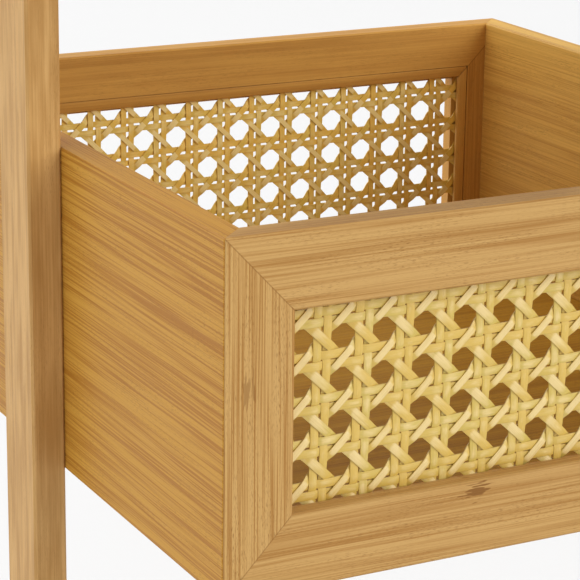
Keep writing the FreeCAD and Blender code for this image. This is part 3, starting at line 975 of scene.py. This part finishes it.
def pan_screw(name, length):
    """A screw about Z: its head stands on the plane Z 0, its shank goes a length below it."""
    bpy.ops.object.select_all(action="DESELECT")
    bpy.ops.mesh.primitive_cylinder_add(vertices=32, radius=HEAD_RADIUS, depth=HEAD_HEIGHT,
                                        location=(0, 0, HEAD_HEIGHT / 2))
    screw = bpy.context.object
    screw.name = name
    bpy.ops.object.transform_apply(location=True)
    bpy.ops.object.mode_set(mode="EDIT")
    pick(screw, lambda spot: near(spot.z, HEAD_HEIGHT))
    bpy.ops.mesh.bevel(offset=HEAD_HEIGHT * HEAD_ROUND, segments=5, affect="EDGES")
    pick(screw, lambda spot: near(spot.z, 0))
    bpy.ops.mesh.select_mode(type="FACE")
    bpy.ops.mesh.inset(thickness=HEAD_RADIUS - SHANK_RADIUS)
    bpy.ops.mesh.extrude_region_move(TRANSFORM_OT_translate={"value": (0, 0, TIP - length)})
    bpy.ops.mesh.extrude_region_move(TRANSFORM_OT_translate={"value": (0, 0, -TIP)})
    bpy.ops.transform.resize(value=(TIP_TAPER, TIP_TAPER, 1))
    bpy.ops.object.mode_set(mode="OBJECT")
    for angle in (0, 90):
        cut_with(screw, cross_blade(angle))
    bpy.ops.object.shade_smooth_by_angle(angle=SMOOTH)
    return screw


# %% [markdown]
# The steel is zinc-plated: a pale grey metal with a fine grain and duller spots. The rubber is nearly
# black and matt, and its grain catches a little light. Both come from one recipe, with the colours,
# the roughness and the depth of the grain for each.

# %% Steel and rubber
WEAR_SIZE = 8
SPECKLE_FADE = (0.3, 0.7)


def speckled(name, dull, bright, size, rough_low, rough_high, depth):
    """A material of one kind all through, with fine noise in its colour, its roughness and its relief."""
    material = bpy.data.materials.new(name)
    material.use_nodes = True
    tree = material.node_tree
    split = put(tree, "SeparateXYZ", put(tree, "TexCoord").outputs["Object"])
    spots = [sums(tree, "DIVIDE", split.outputs[axis], MM) for axis in "XYZ"]
    grain = streaks(tree, spots, [size] * 3, 3)
    wear = streaks(tree, spots, [size * WEAR_SIZE] * 3, 2)
    share = sums(tree, "MULTIPLY_ADD", grain, 0.5, sums(tree, "MULTIPLY", wear, 0.5))
    bump = put(tree, "Bump", Strength=0.5, Distance=depth, Height=grain)
    shader = tree.nodes["Principled BSDF"]
    colour = mixed(tree, ramp(tree, share, *SPECKLE_FADE), dull + (1,), bright + (1,))
    roughness = ramp(tree, share, *SPECKLE_FADE, rough_high, rough_low)
    tree.links.new(colour, shader.inputs["Base Color"])
    tree.links.new(roughness, shader.inputs["Roughness"])
    tree.links.new(bump.outputs[0], shader.inputs["Normal"])
    return material


steel = speckled("zinc_steel", (0.42, 0.42, 0.41), (0.62, 0.62, 0.60), 0.35, 0.25, 0.42, 0.02 * MM)
steel.node_tree.nodes["Principled BSDF"].inputs["Metallic"].default_value = 1.0
rubber = speckled("pad_rubber", (0.012, 0.012, 0.012), (0.035, 0.034, 0.033), 0.5, 0.7, 0.9, 0.05 * MM)
print("finishes: %s and %s" % (steel.name, rubber.name))

# %% [markdown]
# Each group of screws takes the place of one node. The seats come from the boards that the heads press
# on, and every screw is turned a little further than the last, as screws never stop in line.

# %% Drive the screws
SCREW_INSET = 24.0 * MM
FOOT_SCREW_SPREAD = 12.0 * MM
FOOT_SCREW_RISE = 20.0 * MM
BIN_SCREW_LENGTH = 16.5 * MM
FOOT_SCREW_LENGTH = 11.75 * MM
TURN_STEP = 37


def drive(node, name, pattern, seats):
    """Copies of a screw in the place of a node. A seat is (side of the rack, place)."""
    copies = []
    for number, (side, place) in enumerate(seats):
        twin = copy_of(pattern, "%s_%d" % (name, number))
        place_points(twin, [(TURN_STEP * number, "Z"), (-90 * side, "Y")], place)
        copies.append(twin)
    group = join_as(name, copies)
    group.data.materials.append(steel)
    hand_over(group, node)


bin_screw = pan_screw("bin_screw", BIN_SCREW_LENGTH)
foot_screw = pan_screw("foot_screw", FOOT_SCREW_LENGTH)
for tier in TIERS:
    low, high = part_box(tier + "_left_side")
    seats = [(side, (-side * high.x, 0, height))
             for side in (-1, 1) for height in (low.z + SCREW_INSET, high.z - SCREW_INSET)]
    drive(tier + "_screws", tier + "_pan_screws", bin_screw, seats)
low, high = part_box("left_foot")
seats = [(side, (-side * high.x, end * FOOT_SCREW_SPREAD / 2, low.z + FOOT_SCREW_RISE))
         for side in (-1, 1) for end in (-1, 1)]
drive("foot_screws", "foot_pan_screws", foot_screw, seats)
for pattern in (bin_screw, foot_screw):
    bpy.data.objects.remove(pattern)

# %% [markdown]
# The pads are moulded rubber, so no edge of them is sharp. A block gets its upright corners rounded
# first and then the rim that stands on the floor.

# %% Rubber pads
PAD_SIZE = Vector((13.0, 24.0, 3.0)) * MM
PAD_CORNER = 2.5 * MM
PAD_RIM = 0.7 * MM


def pad(name, size):
    """A rounded block about the origin."""
    bpy.ops.object.select_all(action="DESELECT")
    bpy.ops.mesh.primitive_cube_add(size=1)
    block = bpy.context.object
    block.name = name
    bpy.ops.object.mode_set(mode="EDIT")
    bpy.ops.transform.resize(value=size)
    bpy.ops.mesh.select_all(action="DESELECT")
    bpy.ops.object.mode_set(mode="OBJECT")
    for edge in block.data.edges:
        ends = [block.data.vertices[index].co for index in edge.vertices]
        edge.select = near(ends[0].x, ends[1].x) and near(ends[0].y, ends[1].y)
    bpy.ops.object.mode_set(mode="EDIT")
    bpy.ops.mesh.select_mode(type="EDGE")
    bpy.ops.mesh.bevel(offset=PAD_CORNER, segments=5, affect="EDGES")
    pick(block, lambda spot: spot.z < 0)
    bpy.ops.mesh.bevel(offset=PAD_RIM, segments=3, affect="EDGES")
    bpy.ops.object.mode_set(mode="OBJECT")
    bpy.ops.object.shade_smooth_by_angle(angle=SMOOTH)
    return block


pads_low, pads_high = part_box("foot_pads")
pad_reach = (pads_high - pads_low - PAD_SIZE) / 2
pattern = pad("pad", PAD_SIZE)
pads = []
for side in (-1, 1):
    for end in (-1, 1):
        twin = copy_of(pattern, "pad_%d" % len(pads))
        place_points(twin, [], (side * pad_reach.x, end * pad_reach.y, PAD_SIZE.z / 2))
        pads.append(twin)
bpy.data.objects.remove(pattern)
rubber_pads = join_as("rubber_pads", pads)
rubber_pads.data.materials.append(rubber)
hand_over(rubber_pads, "foot_pads")
print("pads: %d" % len(pads))
